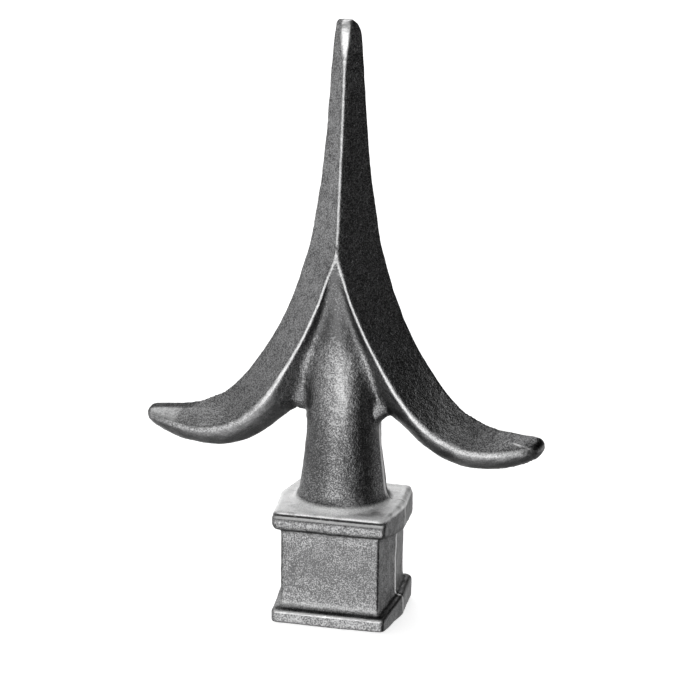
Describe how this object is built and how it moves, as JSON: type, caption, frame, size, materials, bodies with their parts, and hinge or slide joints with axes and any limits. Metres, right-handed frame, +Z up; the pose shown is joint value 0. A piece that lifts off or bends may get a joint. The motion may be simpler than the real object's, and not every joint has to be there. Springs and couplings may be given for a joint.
{
  "type": "cast iron fence finial",
  "caption": "Spear-shaped cast iron fence finial: four-sided spike, curved side wings, round shaft and flanged base with a square picket socket.",
  "frame": {"origin": "centre of the base's underside", "axes": "+Z up along the spike, X across the two wings, front of the casting towards -Y; the mould's parting plane is Y = 0"},
  "size_m": [0.1028, 0.0294, 0.152],
  "materials": {
    "cast_iron": "bare sand-cast skin, worn bright on the ridges and flange tops"
  },
  "bodies": {
    "root": {"finial_casting": "cast_iron"}
  },
  "joints": []
}
